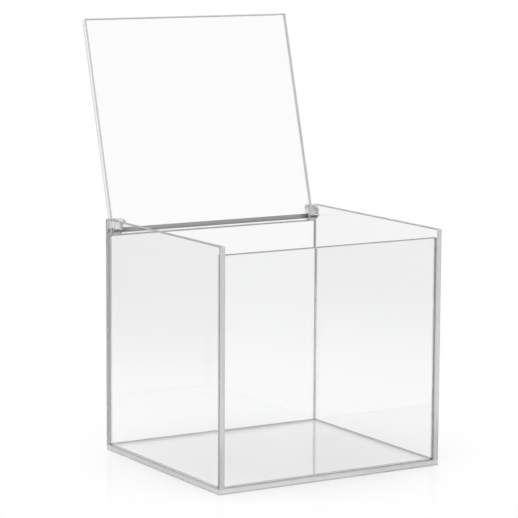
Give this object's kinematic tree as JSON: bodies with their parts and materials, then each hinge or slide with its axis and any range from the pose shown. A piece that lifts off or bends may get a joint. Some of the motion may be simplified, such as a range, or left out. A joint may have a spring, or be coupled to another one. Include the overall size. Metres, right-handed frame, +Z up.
{
  "type": "coffee capsule holder",
  "caption": "Clear acrylic keeper box with an open top and a clear lid that swings back on a steel hinge rod along its rear edge.",
  "frame": {"origin": "centre of the base's underside, where the box stands", "axes": "+Z up, +X to the right along the hinge rod, the front towards -Y"},
  "size_m": [0.128, 0.1467, 0.2202],
  "materials": {
    "clear_acrylic": "polished",
    "rod_steel": "satin"
  },
  "bodies": {
    "box": {"base_plate": "clear_acrylic", "left_wall": "clear_acrylic", "right_wall": "clear_acrylic", "front_wall": "clear_acrylic", "back_wall": "clear_acrylic", "hinge_rod": "rod_steel"},
    "lid": {"lid_panel": "clear_acrylic", "left_knuckle": "clear_acrylic", "right_knuckle": "clear_acrylic"}
  },
  "joints": [
    {"name": "lid_hinge", "type": "hinge", "parent": "box", "child": "lid", "pos_m": [0, 0.0541, 0.1143], "axis": [1, 0, 0], "range_deg": [0, 105.6]}
  ]
}
